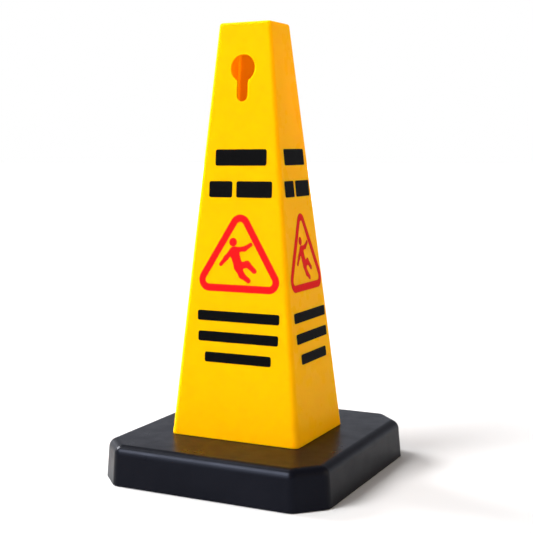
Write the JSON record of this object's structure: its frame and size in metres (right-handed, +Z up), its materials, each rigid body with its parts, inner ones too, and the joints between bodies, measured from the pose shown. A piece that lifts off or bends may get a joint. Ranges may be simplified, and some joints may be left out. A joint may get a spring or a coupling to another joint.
{
  "type": "wet floor sign",
  "caption": "Tall four-sided hollow warning cone in glossy yellow plastic with a keyhole near its top, standing in a wide black weighted base with cut corners.",
  "frame": {"origin": "on the floor, under the cone's centre line", "axes": "+Z up along the cone's centre line; the front face, with a keyhole, looks along -Y; +X is to the right seen from the front"},
  "size_m": [0.37, 0.37, 0.68],
  "materials": {
    "yellow_shell": "glossy moulded",
    "black_shell": "semi-gloss moulded",
    "black_cover": "matte moulded",
    "screw_steel": "zinc plated",
    "ballast_iron": "as cast",
    "foot_rubber": "matte"
  },
  "bodies": {
    "base": {"base_shell": "black_shell", "bottom_cover": "black_cover", "cover_screws": "screw_steel", "ballast_front": "ballast_iron", "ballast_back": "ballast_iron", "ballast_left": "ballast_iron", "ballast_right": "ballast_iron", "foot_front_left": "foot_rubber", "foot_front_right": "foot_rubber", "foot_back_left": "foot_rubber", "foot_back_right": "foot_rubber"},
    "cone": {"cone_shell": "yellow_shell"}
  },
  "joints": [
    {"name": "cone_lift", "type": "slide", "parent": "base", "child": "cone", "axis": [0, 0, 1], "range_m": [0, 0.1]}
  ]
}
